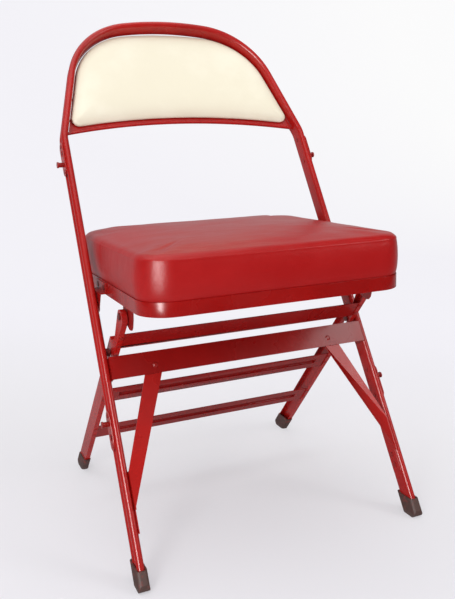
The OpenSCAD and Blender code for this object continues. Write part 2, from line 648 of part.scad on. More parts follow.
// Rear ears of the pan: a flange on the pan's side, stepped out to the hinge plate
ear_t = 2;
ear_gap = 0.9;
ear_x = hinge_web - ear_gap - ear_t;
ear_step = ear_x + ear_t - pan_w / 2;
ear_hub_r = 9.5;
module ear_outline() {
    circle(r = ear_hub_r, $fn = 60);
    polygon([[-ear_hub_r, 0], [ear_hub_r, 0], [32, ear_flange_z - 3], [32, ear_flange_z], [-20, ear_flange_z], [-20, ear_flange_z - 3]]);
}
module seat_ear(side) {
    color("firebrick") at_seat_hinge(side) difference() {
        union() {
            plate(ear_x, ear_x + ear_t) ear_outline();
            translate([pan_w / 2, -20, ear_flange_z - ear_t]) cube([ear_step, 52, ear_t]);
            translate([pan_w / 2, -20, ear_flange_z - ear_t]) cube([ear_t, 52, 14 + ear_t]);
        }
        for (y = ear_rivet_y) translate([pan_w / 2, y, ear_flange_z + 7]) rod(-ear_t, 2 * ear_t, rivet_r);
    }
}
module ear_rivets() {
    color("dimgray") for (side = [-1, 1]) at_ear_rivets(side) {
        rod(-pan_t, ear_t, rivet_r);
        rod(ear_t, ear_t + rivet_head_h, rivet_head_r);
    }
}
module seat_pivot(side) {
    color("dimgray") at_seat_hinge(side) {
        rod(ear_x + ear_t, hinge_web + chan_t + 0.8, pin_r);
        rod(ear_x + ear_t, hinge_web - 0.4, pin_r + 2);
    }
}

// Brackets under the pan that carry the rear legs' hinge
module bracket_outline() {
    translate([bracket_y, leg_hinge_z]) circle(r = 10, $fn = 60);
    polygon([[bracket_y - 32, pan_floor], [bracket_y - 30, 2], [bracket_y - 26, -10], [bracket_y - 21, -15],
        [bracket_y - 13, -16], [bracket_y + 4, -9], [bracket_y + 14, 8], [bracket_y + 14, pan_floor]]);
}
module leg_bracket(side) {
    color("firebrick") in_seat() sided(side) difference() {
        union() {
            plate(bracket_x - bracket_t, bracket_x) bracket_outline();
            translate([bracket_x - bracket_flange, bracket_y - 32, pan_floor - bracket_t])
                cube([bracket_flange, 46, bracket_t]);
        }
        translate([0, bracket_y, leg_hinge_z]) rod(0, half_w, pin_r);
        for (y = bracket_rivet_y) translate([bracket_rivet_x, y, 0]) cylinder(r = rivet_r, h = 2 * pan_floor, $fn = 40);
    }
}
module bracket_rivets() {
    color("dimgray") for (side = [-1, 1]) at_bracket_rivets(side) {
        translate([0, 0, -bracket_t]) cylinder(r = rivet_r, h = bracket_t + pan_t, $fn = 40);
        translate([0, 0, -bracket_t - rivet_head_h]) cylinder(r = rivet_head_r, h = rivet_head_h, $fn = 40);
    }
}
leg_web = rear_top_w / 2 - rear_t;
module leg_pin(side) {
    color("dimgray") in_seat() translate([0, bracket_y, leg_hinge_z]) sided(side) {
        rod(bracket_x - bracket_t, rear_top_w / 2 + 0.3, pin_r);
        rod(bracket_x, leg_web - 0.3, 2 * pin_r);
        rod(rear_top_w / 2 + 0.3, rear_top_w / 2 + 1.8, pin_r + 2);
        rod(bracket_x - bracket_t - rivet_head_h, bracket_x - bracket_t, pin_r + 2);
    }
}

// Rear legs: channel open to the inside, round at the hinge, slotted for the guide pin
rail_low_us = [rail_mid_u, rail_low_u];
rail_rivet_d = 10;
function rail_rivet_us() = [for (u = [rail_up_u, rail_mid_u, rail_low_u]) for (d = [-1, 1]) u + d * rail_rivet_d];
// Outline of a rear leg, t inside its edge: round head, neck cut in behind, then the full width
neck_c = [-neck_u, rear_w / 2 - neck_w - neck_r];
neck_a = atan2(neck_c[1], neck_c[0]) + acos((head_r + neck_r) / norm(neck_c));
shoulder_r = 12;
function leg_pts(t) = concat(
    [[-rear_len - rear_w, rear_w / 2 - t]],
    arc_pts([head_r - shoulder_r, rear_w / 2 - shoulder_r], shoulder_r - t, 90, 0),
    arc_pts([0, 0], head_r - t, 0, neck_a),
    arc_pts(neck_c, neck_r + t, neck_a + 180, 180 - asin((t - rear_w / 2 - neck_c[1]) / (neck_r + t))),
    [[-rear_len - rear_w, t - rear_w / 2]]
);
module at_rail_rivets() {
    for (side = [-1, 1]) for (u = rail_rivet_us())
        in_rear() sided(side) translate([rear_x(u) - rear_d / 2 - rear_t / 2, -u, rear_w / 2 - rear_t]) children();
}
module rear_leg(side) {
    color("firebrick") above(boot_sole) difference() {
        in_rear_leg_space(side) difference() {
            plate(-rear_d, 0) polygon(leg_pts(0));
            plate(-2 * rear_d, -rear_t) polygon(leg_pts(rear_t));
            plate(-2 * rear_d, rear_d) polygon(slot_outline);
            translate([0, slot_pocket[0], slot_pocket[1]]) rod(-2 * rear_d, rear_d, slot_pocket_r);
        }
        in_rear() sided(side) rod(0, half_w, pin_r + pin_gap);
        at_rail_rivets() translate([0, 0, -rear_t]) cylinder(r = rivet_r, h = 3 * rear_t, $fn = 40);
    }
}
rail_z = rear_w / 2 - 2 * rear_t;
function rail_half(u) = rear_x(u) - rear_t - 0.4;
module rail_rivet_holes(u) {
    for (m = [-1, 1]) for (d = [-1, 1])
        translate([m * (rear_x(u + d * rail_rivet_d) - rear_d / 2 - rear_t / 2), -u - d * rail_rivet_d, 0])
            cylinder(r = rivet_r, h = rear_w, $fn = 40);
}
module plain_rail(u, h) {
    w = rail_half(u - h / 2);
    translate([-w, -u - h / 2, rail_z]) cube([2 * w, h, rear_t]);
}
module rear_rail_upper() {
    color("firebrick") in_rear() difference() {
        union() {
            plain_rail(rail_up_u, rail_up_h);
            translate([-bracket_x + 2 * rear_t, -rail_up_u - rail_up_h / 2, rail_z - 6])
                cube([2 * bracket_x - 4 * rear_t, rear_t, 6]);
        }
        rail_rivet_holes(rail_up_u);
    }
}
module rear_rail_grooved(u) {
    g = rail_half(u) - 26;
    color("firebrick") in_rear() difference() {
        union() {
            plain_rail(u, rail_low_h);
            translate([0, -u, rail_z]) rod(-g, g, groove_r + rear_t);
        }
        rail_rivet_holes(u);
        translate([0, -u, rail_z + rear_t]) rod(-g, g, groove_r + rear_t / 2);
        translate([-g - rear_w, -u - rear_w, rail_z + rear_t]) cube([2 * g + 2 * rear_w, 2 * rear_w, rear_w]);
    }
}
module rear_rail_rivets() {
    color("darkred") at_rail_rivets() {
        translate([0, 0, -rear_t]) cylinder(r = rivet_r, h = 2 * rear_t, $fn = 40);
        translate([0, 0, rear_t]) cylinder(r = rivet_r + 1, h = 0.8, $fn = 40);
        translate([0, 0, -rear_t - 0.8]) cylinder(r = rivet_r + 1, h = 0.8, $fn = 40);
    }
}
module rear_boot(side) {
    color("saddlebrown") difference() {
        intersection() {
            in_rear_leg_space(side) translate([0, -rear_len, 0]) boot_body(rear_d, rear_w);
            boot_side(rear_boot_heel, 1);
        }
        above(boot_sole) in_rear_leg_space(side) translate([0, -rear_len, 0]) leg_end(rear_d, rear_w);
    }
}

main_frame();
front_rail();
brace(-1);  // brace_left
brace(1);  // brace_right
brace_rivets();
rail_rivets();
back_panel();
panel_rivets();
back_pad();
gang_plate(-1, gang_up_s, 1);  // gang_plate_upper_left
gang_plate(-1, gang_low_s, -1);  // gang_plate_lower_left
gang_plate(1, gang_up_s, 1);  // gang_plate_upper_right
gang_plate(1, gang_low_s, -1);  // gang_plate_lower_right
gang_studs();
gang_rivets();
guide_pin(-1);  // guide_pin_left
guide_pin(1);  // guide_pin_right
front_boot(-1);  // front_boot_left
front_boot(1);  // front_boot_right
seat_pan();
seat_cushion();
seat_ear(-1);  // seat_ear_left
seat_ear(1);  // seat_ear_right
seat_pivot(-1);  // seat_pivot_left
seat_pivot(1);  // seat_pivot_right
leg_bracket(-1);  // leg_bracket_left
leg_bracket(1);  // leg_bracket_right
ear_rivets();
bracket_rivets();
leg_pin(-1);  // leg_pin_left
leg_pin(1);  // leg_pin_right
rear_leg(-1);  // rear_leg_left
rear_leg(1);  // rear_leg_right
rear_rail_upper();
rear_rail_grooved(rail_mid_u);  // rear_rail_middle
rear_rail_grooved(rail_low_u);  // rear_rail_lower
rear_rail_rivets();
rear_boot(-1);  // rear_boot_left
rear_boot(1);  // rear_boot_right
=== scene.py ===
import math

import bmesh
import bpy
from mathutils import Matrix, Vector, noise


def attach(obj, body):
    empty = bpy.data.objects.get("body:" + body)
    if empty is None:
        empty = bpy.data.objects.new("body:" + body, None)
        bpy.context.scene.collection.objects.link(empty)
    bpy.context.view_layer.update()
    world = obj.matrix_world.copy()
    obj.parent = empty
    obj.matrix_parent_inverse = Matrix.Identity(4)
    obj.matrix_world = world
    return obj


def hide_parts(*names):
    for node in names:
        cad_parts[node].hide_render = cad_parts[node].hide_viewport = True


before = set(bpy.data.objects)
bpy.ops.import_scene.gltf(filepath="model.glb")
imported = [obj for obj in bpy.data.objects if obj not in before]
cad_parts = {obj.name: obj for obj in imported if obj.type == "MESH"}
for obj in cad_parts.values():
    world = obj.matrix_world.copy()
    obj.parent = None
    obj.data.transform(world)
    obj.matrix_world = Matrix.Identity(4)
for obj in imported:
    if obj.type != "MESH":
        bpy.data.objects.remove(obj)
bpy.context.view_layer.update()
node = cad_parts

# The view: a camera about a metre in front of the chair and a little to its
# left, at the height of the back's lower edge, looking down at the seat.
photo_w, photo_h = 455, 599
chair_mid = 0.234288
eye = Vector((-0.46645, -0.86597 - chair_mid, 0.60331))
yaw, pitch, roll = 0.4112, 0.2246, -0.0253
focal_px = 740.09
forward = Vector((math.sin(yaw) * math.cos(pitch), math.cos(yaw) * math.cos(pitch), -math.sin(pitch)))
level_right = Vector((math.cos(yaw), -math.sin(yaw), 0))
level_up = level_right.cross(forward)
right = math.cos(roll) * level_right + math.sin(roll) * level_up
up = -math.sin(roll) * level_right + math.cos(roll) * level_up
camera_data = bpy.data.cameras.new("camera")
camera_data.sensor_width = 36
camera_data.lens = focal_px / max(photo_w, photo_h) * 36
camera_data.clip_start = 0.02
camera = bpy.data.objects.new("camera", camera_data)
camera.matrix_world = Matrix((
    (right.x, up.x, -forward.x, eye.x),
    (right.y, up.y, -forward.y, eye.y),
    (right.z, up.z, -forward.z, eye.z),
    (0, 0, 0, 1)))
bpy.context.scene.collection.objects.link(camera)
bpy.context.scene.camera = camera
bpy.context.scene.view_settings.view_transform = "Standard"


# The studio: a pale sheet that lies as the floor and sweeps up as the backdrop,
# with no edge between the two. It keeps the chair's soft shadow, but the sheet
# also glows as painted light. Seen straight on, it glows darker near the chair and
# to the left and brighter far off and to the right, which pales the shadow. Seen
# in reflections, it glows brighter behind the chair, a painted source for the
# sheen on the chair.
def mesh_object(name, points, faces):
    mesh = bpy.data.meshes.new(name)
    mesh.from_pydata([tuple(p) for p in points], [], faces)
    mesh.update()
    piece = bpy.data.objects.new(name, mesh)
    bpy.context.scene.collection.objects.link(piece)
    mesh.polygons.foreach_set("use_smooth", [True] * len(mesh.polygons))
    return piece


def new_material(name):
    material = bpy.data.materials.new(name)
    material.use_nodes = True
    tree = material.node_tree
    return material, tree, tree.nodes["Principled BSDF"]


floor_front, floor_back, sweep_r, studio_top, studio_half = -6.0, 1.6, 1.4, 6.0, 7.0
sweep_profile = [(floor_front, 0.0), (floor_back, 0.0)]
for i in range(1, 25):
    a = math.pi / 2 * i / 24
    sweep_profile.append((floor_back + sweep_r * math.sin(a), sweep_r - sweep_r * math.cos(a)))
sweep_profile.append((floor_back + sweep_r, studio_top))
studio_points = [(x, y, z) for y, z in sweep_profile for x in (-studio_half, studio_half)]
studio_faces = [(2 * i, 2 * i + 1, 2 * i + 3, 2 * i + 2) for i in range(len(sweep_profile) - 1)]
studio = mesh_object("studio_sheet", studio_points, studio_faces)
studio_paint, tree, shader = new_material("studio_paper")
shader.inputs["Base Color"].default_value = (0.84, 0.83, 0.855, 1)
shader.inputs["Roughness"].default_value = 0.9
shader.inputs["Specular IOR Level"].default_value = 0.1
# Painted glow: camera rays see a glow that grows with distance and towards the right, glossy rays one that grows
# towards the back
light_path = tree.nodes.new("ShaderNodeLightPath")
painted_glow = tree.nodes.new("ShaderNodeEmission")
place = tree.nodes.new("ShaderNodeNewGeometry")
split = tree.nodes.new("ShaderNodeSeparateXYZ")
tree.links.new(place.outputs["Position"], split.inputs[0])
slant = tree.nodes.new("ShaderNodeMath")
slant.operation = "MULTIPLY_ADD"
slant.inputs[1].default_value = 0.8
tree.links.new(split.outputs["X"], slant.inputs[0])
tree.links.new(split.outputs["Y"], slant.inputs[2])
far = tree.nodes.new("ShaderNodeMapRange")
far.inputs["From Min"].default_value = -0.6
far.inputs["From Max"].default_value = 1.5
far.inputs["To Min"].default_value = 0.42
far.inputs["To Max"].default_value = 0.93
tree.links.new(slant.outputs[0], far.inputs["Value"])
along = tree.nodes.new("ShaderNodeMapRange")
along.inputs["From Min"].default_value = -1.0
along.inputs["From Max"].default_value = 5.0
tree.links.new(slant.outputs[0], along.inputs["Value"])
painted_glow_tint = tree.nodes.new("ShaderNodeValToRGB")
stops = painted_glow_tint.color_ramp.elements
stops[0].position, stops[0].color = 0.06, (0.765, 0.755, 0.800, 1)
stops[1].position, stops[1].color = 1.0, (1.0, 1.0, 1.0, 1)
stops.new(0.20).color = (0.840, 0.835, 0.860, 1)
stops.new(0.36).color = (0.905, 0.895, 0.945, 1)
stops.new(0.68).color = (0.915, 0.905, 0.950, 1)
tree.links.new(along.outputs["Result"], painted_glow_tint.inputs["Fac"])
tree.links.new(painted_glow_tint.outputs["Color"], painted_glow.inputs["Color"])
painted_glow_in_gloss = tree.nodes.new("ShaderNodeMapRange")
painted_glow_in_gloss.inputs["From Min"].default_value = -1.2
painted_glow_in_gloss.inputs["From Max"].default_value = 0.8
painted_glow_in_gloss.inputs["To Min"].default_value = 0.02
painted_glow_in_gloss.inputs["To Max"].default_value = 0.52
tree.links.new(split.outputs["Y"], painted_glow_in_gloss.inputs["Value"])
level = tree.nodes.new("ShaderNodeMapRange")
level.inputs["To Min"].default_value = 1.0
tree.links.new(light_path.outputs["Is Glossy Ray"], level.inputs["Value"])
tree.links.new(painted_glow_in_gloss.outputs["Result"], level.inputs["To Max"])
tree.links.new(level.outputs["Result"], painted_glow.inputs["Strength"])
direct = tree.nodes.new("ShaderNodeMath")
direct.operation = "MULTIPLY"
tree.links.new(light_path.outputs["Is Camera Ray"], direct.inputs[0])
tree.links.new(far.outputs["Result"], direct.inputs[1])
share = tree.nodes.new("ShaderNodeMath")
share.operation = "MAXIMUM"
tree.links.new(direct.outputs[0], share.inputs[0])
tree.links.new(light_path.outputs["Is Glossy Ray"], share.inputs[1])
blend_in = tree.nodes.new("ShaderNodeMixShader")
tree.links.new(share.outputs[0], blend_in.inputs["Fac"])
tree.links.new(shader.outputs[0], blend_in.inputs[1])
tree.links.new(painted_glow.outputs[0], blend_in.inputs[2])
tree.links.new(blend_in.outputs[0], tree.nodes["Material Output"].inputs["Surface"])
studio.data.materials.append(studio_paint)


# The light: a tall soft box in front and to the left with a strip beside it that
# only shows as a sheen, a wide box overhead, and a weak one from the right to
# open the shadows, in a dim white room.
def soft_box(name, place_at, aim, size, power, sheen_only=False):
    data = bpy.data.lights.new(name, "AREA")
    data.shape = "RECTANGLE"
    data.size, data.size_y = size
    data.energy = power
    lamp = bpy.data.objects.new(name, data)
    lamp.location = place_at
    lamp.rotation_mode = "QUATERNION"
    lamp.rotation_quaternion = (Vector(aim) - Vector(place_at)).to_track_quat("-Z", "Y")
    lamp.visible_diffuse = not sheen_only
    bpy.context.scene.collection.objects.link(lamp)


soft_box("left_box", (-1.75, -1.75, 0.95), (0, -0.05, 0.42), (0.62, 1.9), 26)
soft_box("left_sheen", (-1.64, -1.83, 0.85), (0, -0.05, 0.42), (0.55, 1.9), 64, True)
soft_box("top_box", (-0.3, 0.0, 2.7), (0, 0, 0), (3.0, 2.6), 39)
soft_box("right_box", (1.95, -1.75, 1.75), (0, 0, 0.35), (1.0, 1.2), 20)
world = bpy.data.worlds.new("room")
world.use_nodes = True
room = world.node_tree
room.nodes["Background"].inputs["Color"].default_value = (0.97, 0.97, 1.0, 1)
dim = room.nodes.new("ShaderNodeMapRange")
dim.inputs["To Min"].default_value = 0.48
dim.inputs["To Max"].default_value = 0.05
room.links.new(room.nodes.new("ShaderNodeLightPath").outputs["Is Glossy Ray"], dim.inputs["Value"])
room.links.new(dim.outputs["Result"], room.nodes["Background"].inputs["Strength"])
bpy.context.scene.world = world


# The main frame: one length of steel channel bent into an arch that runs down
# as the front legs. Its web is flat inside and both edges are rolled into beads.
# Its paint is a gloss red, a little worn: clouds of lighter and darker red,
# pin-head chips that show the primer, and a slight orange peel.
def group(name, inputs, outputs):
    tree = bpy.data.node_groups.new(name, "ShaderNodeTree")
    for label, kind, value in inputs:
        socket = tree.interface.new_socket(name=label, in_out="INPUT", socket_type=kind)
        socket.default_value = value
    for label, kind in outputs:
        tree.interface.new_socket(name=label, in_out="OUTPUT", socket_type=kind)
    return tree, tree.nodes.new("NodeGroupInput"), tree.nodes.new("NodeGroupOutput")


def use_group(tree, made, **values):
    placed = tree.nodes.new("ShaderNodeGroup")
    placed.node_tree = made
    for label, value in values.items():
        placed.inputs[label.replace("_", " ")].default_value = value
    return placed


def noise_of(tree, coords, scale, detail=3.0, rough=0.5):
    made = tree.nodes.new("ShaderNodeTexNoise")
    made.inputs["Scale"].default_value = scale
    made.inputs["Detail"].default_value = detail
    made.inputs["Roughness"].default_value = rough
    tree.links.new(coords, made.inputs["Vector"])
    return made.outputs["Fac"]


def ramp_of(tree, value, low, high, to_low=0.0, to_high=1.0):
    made = tree.nodes.new("ShaderNodeMapRange")
    made.interpolation_type = "SMOOTHSTEP"
    for label, number in (("From Min", low), ("From Max", high), ("To Min", to_low), ("To Max", to_high)):
        made.inputs[label].default_value = number
    tree.links.new(value, made.inputs["Value"])
    return made.outputs["Result"]


def math_of(tree, kind, a, b):
    made = tree.nodes.new("ShaderNodeMath")
    made.operation = kind
    for socket, value in zip(made.inputs, (a, b)):
        if hasattr(value, "links"):
            tree.links.new(value, socket)
        else:
            socket.default_value = value
    return made.outputs[0]


def mix_of(tree, share, a, b):
    made = tree.nodes.new("ShaderNodeMix")
    made.data_type = "RGBA"
    for socket, value in ((made.inputs[0], share), (made.inputs[6], a), (made.inputs[7], b)):
        if hasattr(value, "links"):
            tree.links.new(value, socket)
        else:
            socket.default_value = value
    return made.outputs[2]


wear, wear_in, wear_out = group(
    "paint_wear",
    [("Paint", "NodeSocketColor", (0.4, 0.01, 0.01, 1)), ("Primer", "NodeSocketColor", (0.05, 0.02, 0.02, 1)),
     ("Chips", "NodeSocketFloat", 0.5), ("Gloss", "NodeSocketFloat", 0.25)],
    [("Color", "NodeSocketColor"), ("Roughness", "NodeSocketFloat"), ("Height", "NodeSocketFloat")])
coords = wear.nodes.new("ShaderNodeTexCoord").outputs["Object"]
clouds = ramp_of(wear, noise_of(wear, coords, 9.0, 3.0), 0.3, 0.7, 0.90, 1.07)
shade = wear.nodes.new("ShaderNodeVectorMath")
shade.operation = "SCALE"
wear.links.new(wear_in.outputs["Paint"], shade.inputs[0])
wear.links.new(clouds, shade.inputs["Scale"])
spots = noise_of(wear, coords, 300.0, 2.0, 0.6)
patches = ramp_of(wear, noise_of(wear, coords, 24.0, 3.0), 0.54, 0.74)
chip_share = math_of(wear, "MULTIPLY", patches, wear_in.outputs["Chips"])
chip = math_of(wear, "MULTIPLY", ramp_of(wear, spots, 0.69, 0.74), chip_share)
wear.links.new(mix_of(wear, chip, shade.outputs[0], wear_in.outputs["Primer"]), wear_out.inputs["Color"])
haze = ramp_of(wear, noise_of(wear, coords, 16.0, 3.0, 0.5), 0.35, 0.75, -0.03, 0.05)
rough = math_of(wear, "ADD", wear_in.outputs["Gloss"], haze)
wear.links.new(math_of(wear, "ADD", rough, math_of(wear, "MULTIPLY", chip, 0.3)), wear_out.inputs["Roughness"])
peel = noise_of(wear, coords, 150.0, 2.0)
wear.links.new(math_of(wear, "SUBTRACT", math_of(wear, "MULTIPLY", peel, 0.22), chip), wear_out.inputs["Height"])


def painted(name, colour, primer, chips, gloss, coat):
    material, tree, shader = new_material(name)
    layer = use_group(tree, wear, Paint=colour, Primer=primer, Chips=chips, Gloss=gloss)
    tree.links.new(layer.outputs["Color"], shader.inputs["Base Color"])
    tree.links.new(layer.outputs["Roughness"], shader.inputs["Roughness"])
    bump = tree.nodes.new("ShaderNodeBump")
    bump.inputs["Strength"].default_value = 0.05
    bump.inputs["Distance"].default_value = 0.0003
    tree.links.new(layer.outputs["Height"], bump.inputs["Height"])
    tree.links.new(bump.outputs["Normal"], shader.inputs["Normal"])
    shader.inputs["Specular IOR Level"].default_value = 0.38
    shader.inputs["Coat Weight"].default_value = coat
    shader.inputs["Coat Roughness"].default_value = 0.12
    return material


red_paint = painted("red_gloss_paint", (0.40, 0.008, 0.006, 1), (0.10, 0.010, 0.008, 1), 0.05, 0.27, 0.08)
lean = math.radians(30.75)
frame_w, frame_len = 0.461, 0.9195
splay = math.atan(0.015)
channel_d, channel_w, channel_t = 0.011, 0.028, 0.0013
bend_s, arch_angle = 0.695, math.radians(15.3)
corner_r, crown_r, leg_bend_r = 0.137, 0.500, 0.060


def in_frame(x, s, z):
    return Vector((x, s * math.sin(lean) - z * math.cos(lean) - chair_mid, s * math.cos(lean) + z * math.sin(lean)))


def frame_x(s):
    return frame_w / 2 - s * math.tan(splay)


side_out = Vector((math.cos(arch_angle), math.sin(arch_angle)))
leg_out = Vector((math.cos(splay), math.sin(splay)))
leg_up = Vector((-math.sin(splay), math.cos(splay)))
bend_p = Vector((frame_x(bend_s), bend_s))
crown_c = Vector((0, frame_len - crown_r))
low_a, high_a = math.radians(0.5), math.radians(40)
for _ in range(50):
    corner_a = (low_a + high_a) / 2
    corner_c = crown_c + (crown_r - corner_r) * Vector((math.sin(corner_a), math.cos(corner_a)))
    if (bend_p - corner_c).dot(side_out) - corner_r > 0:
        low_a = corner_a
    else:
        high_a = corner_a
bend_from = bend_p - leg_bend_r * math.tan((arch_angle - splay) / 2) * leg_up
bend_c = bend_from - leg_bend_r * leg_out


def arc(centre, radius, a0, a1, steps):
    made = []
    for i in range(steps + 1):
        a = a0 + (a1 - a0) * i / steps
        out = Vector((math.cos(a), math.sin(a)))
        made.append((centre + radius * out, out))
    return made


stations = [(Vector((frame_w / 2, 0)) + 0.014 * leg_up, leg_out)]
stations += arc(bend_c, leg_bend_r, splay, arch_angle, 8)
stations += arc(corner_c, corner_r, arch_angle, math.pi / 2 - corner_a, 30)
stations += arc(crown_c, crown_r, math.pi / 2 - corner_a, math.pi / 2, 14)[1:]
stations += [(Vector((-p.x, p.y)), Vector((-n.x, n.y))) for p, n in reversed(stations[:-1])]
bead_r = channel_d / 2
bead_z = channel_w / 2 - bead_r
bead_steps = 18


def bead(radius):
    angles = [math.radians(180 - 305 * i / bead_steps) for i in range(bead_steps + 1)]
    return [(radius * math.cos(a) - bead_r, bead_z + radius * math.sin(a)) for a in angles]


half_profile = bead(bead_r) + bead(bead_r - channel_t)[::-1]
profile = half_profile + [(a, -z) for a, z in half_profile[::-1]]


def turn_faces_out(piece):
    work = bmesh.new()
    work.from_mesh(piece.data)
    bmesh.ops.recalc_face_normals(work, faces=work.faces)
    work.to_mesh(piece.data)
    work.free()


# A profile carried along a path of (point, outward direction), closed at its ends
def swept(name, path, shape, place_at):
    points = [place_at(p.x + n.x * a, p.y + n.y * a, z) for p, n in path for a, z in shape]
    count = len(shape)
    faces = []
    for k in range(len(path) - 1):
        for i in range(count):
            j = (i + 1) % count
            faces.append((k * count + i, k * count + j, (k + 1) * count + j, (k + 1) * count + i))
    faces.append(tuple(reversed(range(count))))
    faces.append(tuple((len(path) - 1) * count + i for i in range(count)))
    made = mesh_object(name, points, faces)
    turn_faces_out(made)
    made.data.set_sharp_from_angle(angle=math.radians(38))
    return made


arch = swept("arch_channel", stations, profile, in_frame)
arch.data.materials.append(red_paint)
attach(arch, "frame")
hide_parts("main_frame")


# The front rail and its two flat braces: sheet straps, sheared and bent, riveted
# to the legs' webs. Their edges are plain cut edges, broken only by the paint.
def soften(piece, width, angle=32):
    joined = piece.modifiers.new("joined", "WELD")
    joined.merge_threshold = 0.00001
    edge = piece.modifiers.new("soft_edges", "BEVEL")
    edge.width = width
    edge.segments = 2
    edge.limit_method = "ANGLE"
    edge.angle_limit = math.radians(angle)
    edge.harden_normals = False


def dress(names, material, width=0.0):
    for name in names:
        piece = node[name]
        piece.data.materials.clear()
        piece.data.materials.append(material)
        if width:
            soften(piece, width)


# The rails' paint is the frame's red made darker: painted shade for the parts that sit under the seat
shaded_rail_paint = painted("red_rail_paint_painted_shade", (0.28, 0.005, 0.004, 1), (0.08, 0.010, 0.008, 1), 0.05, 0.28, 0.08)
dress(["front_rail"], shaded_rail_paint, 0.0005)
dress(["brace_left", "brace_right"], red_paint, 0.0009)

# The frame's rivets and the studs of its ganging plates: turned steel with
# round or coned heads, painted over with the frame and rubbed at the heads.
rivet_paint = painted("red_rivet_paint", (0.30, 0.010, 0.008, 1), (0.10, 0.05, 0.04, 1), 0.6, 0.33, 0.15)
dress(["brace_rivets", "rail_rivets", "panel_rivets", "gang_rivets", "gang_studs"], rivet_paint, 0.0004)

# The ganging plates: small round-ended plates riveted on the outer sides, each
# with a hole for the stud of the next chair in a row.
gang_plates = ["gang_plate_" + place for place in ("upper_left", "lower_left", "upper_right", "lower_right")]
dress(gang_plates, red_paint, 0.0004)

# The back panel: a sheet dished across its width with a rolled lower edge,
# riveted inside the arch and painted with it.
panel_s, panel_rise, panel_dish, panel_t = 0.703, 0.026, 0.014, 0.0014
panel_half = frame_x(panel_s) - channel_d
low_slope = math.atan(2 * panel_rise / panel_half)
dish_r = (panel_half ** 2 + panel_dish ** 2) / (2 * panel_dish)
side_hit = corner_c + corner_r * side_out
inner_corner, inner_crown = corner_r - channel_d, crown_r - channel_d


def dish_z(x):
    return -panel_dish + dish_r - math.sqrt(dish_r ** 2 - x ** 2)


def side_x(s, gap):
    return bend_p.x - ((s - bend_p.y) * math.sin(arch_angle) + channel_d + gap) / math.cos(arch_angle)


def low_edge(x, low):
    return panel_s + low + panel_rise * (1 - (x / panel_half) ** 2)


def inside_outline(gap, low, round_r, fine=3):
    corner_x = side_x(panel_s + low + 1.5 * round_r + 0.004, gap) - 1.2 * round_r
    s0 = low_edge(corner_x, low) + round_r * (math.cos(low_slope) + math.sin(arch_angle))
    s1 = side_hit.y - (channel_d + gap) * math.sin(arch_angle)
    c = Vector((side_x(s0, gap) - round_r * math.cos(arch_angle), s0 - round_r * math.sin(arch_angle)))
    flat_end = c.x - round_r * math.sin(low_slope) - 0.003
    half = [Vector((x, low_edge(x, low))) for x in [flat_end * i / (5 * fine) for i in range(5 * fine + 1)]]
    turn = 5 * fine
    first = -math.pi / 2 - low_slope
    half += [c + round_r * Vector((math.cos(a), math.sin(a)))
             for a in [first + (arch_angle - first) * i / turn for i in range(turn)]]
    rise = 4 * fine
    half += [Vector((side_x(s, gap), s)) for s in [s0 + (s1 - s0) * i / rise for i in range(rise)]]
    turn = 8 * fine
    half += [corner_c + (inner_corner - gap) * Vector((math.cos(a), math.sin(a)))
             for a in [arch_angle + (math.pi / 2 - corner_a - arch_angle) * i / turn for i in range(turn + 1)]]
    turn = 4 * fine
    half += [crown_c + (inner_crown - gap) * Vector((math.cos(a), math.sin(a)))
             for a in [math.pi / 2 - corner_a + corner_a * i / turn for i in range(1, turn + 1)]]
    return half + [Vector((-p.x, p.y)) for p in half[-2:0:-1]]


# Closed skin over rings of points, with a middle point at each end
def ring_skin(name, rings, low_mid, high_mid):
    count = len(rings[0])
    points = [p for ring in rings for p in ring] + [low_mid, high_mid]
    faces = []
    for k in range(len(rings) - 1):
        for i in range(count):
            j = (i + 1) % count
            faces.append((k * count + i, k * count + j, (k + 1) * count + j, (k + 1) * count + i))
    top = (len(rings) - 1) * count
    for i in range(count):
        j = (i + 1) % count
        faces.append((len(points) - 2, j, i))
        faces.append((len(points) - 1, top + i, top + j))
    made = mesh_object(name, points, faces)
    turn_faces_out(made)
    return made


back_mid = Vector((0, panel_s + panel_rise + 0.007 + 0.084))
closing = (0.86, 0.72, 0.58, 0.44, 0.30, 0.16, 0.06)


def on_dish(loop, z, shrink=1.0):
    spots = [back_mid + (p - back_mid) * shrink for p in loop]
    return [in_frame(p.x, p.y, dish_z(p.x) + z) for p in spots]


def panel_loop(inset):
    return inside_outline(panel_t + inset, inset, max(0.003 - inset, 0.002))


insets = (0.045, 0.036, 0.025, 0.015, 0.006, 0.0)
panel_rings = [on_dish(panel_loop(0.045), -panel_t, t) for t in reversed(closing)]
panel_rings += [on_dish(panel_loop(d), -panel_t) for d in insets]
panel_rings += [on_dish(panel_loop(d), 0) for d in reversed(insets)]
panel_rings += [on_dish(panel_loop(0.045), 0, t) for t in closing]
panel = ring_skin(
    "back_sheet", panel_rings,
    in_frame(0, back_mid.y, -panel_t - panel_dish), in_frame(0, back_mid.y, -panel_dish))
panel.data.set_sharp_from_angle(angle=math.radians(40))
panel.data.materials.append(red_paint)
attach(panel, "frame")
rim_rise = math.hypot(panel_rise, panel_dish)
rim_big = (panel_half ** 2 + rim_rise ** 2) / (2 * rim_rise)
rim_a = math.asin((panel_half - 0.0012) / rim_big)
rim_tilt = -math.atan(panel_dish / panel_rise)


def in_rim(x, s, z):
    s2 = s + rim_rise - rim_big
    return in_frame(x, panel_s + s2 * math.cos(rim_tilt) - z * math.sin(rim_tilt),
                    -panel_t / 2 + s2 * math.sin(rim_tilt) + z * math.cos(rim_tilt))


